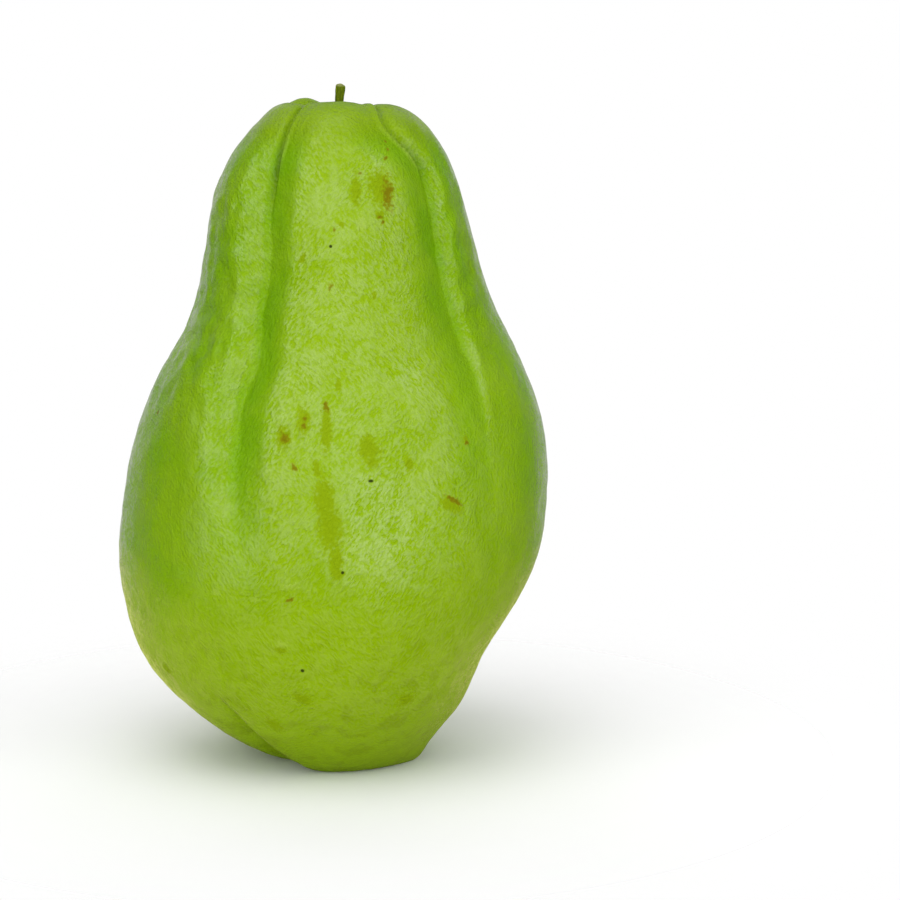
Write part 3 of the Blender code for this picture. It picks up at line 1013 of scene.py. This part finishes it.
def add_world():
    """White to the camera. For the surfaces, a wide bright wall in front, dark sides, a dim wall
    behind and a bright ceiling."""
    world = bpy.data.worlds.new("studio")
    bpy.context.scene.world = world
    world.use_nodes = True
    tree = world.node_tree
    tree.nodes.clear()
    way = add_node(tree, "ShaderNodeTexCoord").outputs["Generated"]
    across, back, up = add_node(tree, "ShaderNodeSeparateXYZ", {0: way}).outputs
    level = calculate(tree, "SQRT", calculate(tree, "SUBTRACT", 1.0, calculate(tree, "MULTIPLY", up, up)))
    level_back = calculate(tree, "DIVIDE", back, calculate(tree, "MAXIMUM", level, 0.01))

    ahead = ramp(tree, level_back, *AHEAD_BACK, 1.0, 0.0)
    light = calculate(tree, "MULTIPLY", ahead, ramp(tree, up, *AHEAD_UP, AHEAD_LOW, AHEAD_HIGH))
    cells = ramp(tree, noise_texture(tree, way, CELLS, 1.0), 0.38, 0.62, *CELL_SHARES)
    light = calculate(tree, "MULTIPLY", light, cells)
    light = calculate(tree, "ADD", light, ramp(tree, across, *SIDE_ACROSS, LEFT_SIDE, RIGHT_SIDE))

    wider = ramp(tree, across, *BEHIND_WIDER_ACROSS, BEHIND_WIDER, 0.0)
    behind = ramp(tree, calculate(tree, "ADD", level_back, wider), *BEHIND_BACK)
    behind = calculate(tree, "MULTIPLY", behind, ramp(tree, level_back, *BEHIND_GAP, 1.0, 0.3))
    light = calculate(tree, "ADD", light, calculate(tree, "MULTIPLY", behind, BEHIND))

    ceiling = ramp(tree, back, *CEILING_BACK, OVERHEAD, OVERHEAD_BACK)
    ceiling = calculate(tree, "MULTIPLY", ceiling, ramp(tree, across, *CEILING_ACROSS, 1.0, 0.4))
    light = mix_value(tree, ramp(tree, up, *OVERHEAD_UP), light, ceiling)

    aimed = {0: way, 1: Vector(SPOT_WAY).normalized()}
    near = add_node(tree, "ShaderNodeVectorMath", aimed, operation="DOT_PRODUCT").outputs["Value"]
    light = calculate(tree, "ADD", light, ramp(tree, near, *SPOT_NEAR, 0.0, SPOT))

    strength = mix_value(tree, camera_sees(tree), light, 1.0)
    shine = add_node(tree, "ShaderNodeBackground", {"Color": (1.0, 1.0, 1.0, 1.0), "Strength": strength})
    out = add_node(tree, "ShaderNodeOutputWorld")
    tree.links.new(shine.outputs[0], out.inputs[0])


def add_floor():
    """A pale floor that fades into the white surround."""
    half = FLOOR_HALF
    corners = [(-half, -half, 0), (half, -half, 0), (half, half, 0), (-half, half, 0)]
    mesh = bpy.data.meshes.new("floor")
    mesh.from_pydata(corners, [], [(0, 1, 2, 3)])
    floor = bpy.data.objects.new("floor", mesh)
    bpy.context.scene.collection.objects.link(floor)
    made, tree, shader = new_material("floor")
    place = object_place(tree)
    across = add_node(tree, "ShaderNodeSeparateXYZ", {0: place}).outputs[0]
    away = add_node(tree, "ShaderNodeVectorMath", {0: place}, operation="LENGTH").outputs["Value"]
    seen = camera_sees(tree)
    fade = ramp(tree, away, *FLOOR_FADE, 1.0, 0.0)
    alpha = mix_value(tree, seen, fade, ramp(tree, away, *FLOOR_FADE_SEEN, 1.0, 0.0))
    tree.links.new(alpha, shader.inputs["Alpha"])
    dim = ramp(tree, away, *FLOOR_DIMS, FLOOR_NEAR, FLOOR_FAR)
    # Painted shade: the floor is darker to the right, as the fruit's gloss and bounce see it.
    dim = calculate(tree, "MULTIPLY", dim, ramp(tree, across, *FLOOR_SHADE_RIGHT, 1.0, FLOOR_SHADE_RIGHT_SHARE))
    tinted = {0: FLOOR_TINT, "Scale": dim}
    tinted = add_node(tree, "ShaderNodeVectorMath", tinted, operation="SCALE").outputs[0]
    shade = mix_colour(tree, seen, tinted, (FLOOR_SEEN, FLOOR_SEEN, FLOOR_SEEN, 1.0))
    tree.links.new(shade, shader.inputs["Base Color"])
    shader.inputs["Roughness"].default_value = 0.9
    shader.inputs["Specular IOR Level"].default_value = 0.0
    mesh.materials.append(made)


fruit = make_fruit()
fruit.data.materials.append(skin_material())
stem = make_stem()
stem.data.materials.append(stem_material())
add_camera()
add_world()
add_floor()
for softbox in SOFTBOXES:
    add_softbox(*softbox)
bpy.context.scene.view_settings.view_transform = "Standard"
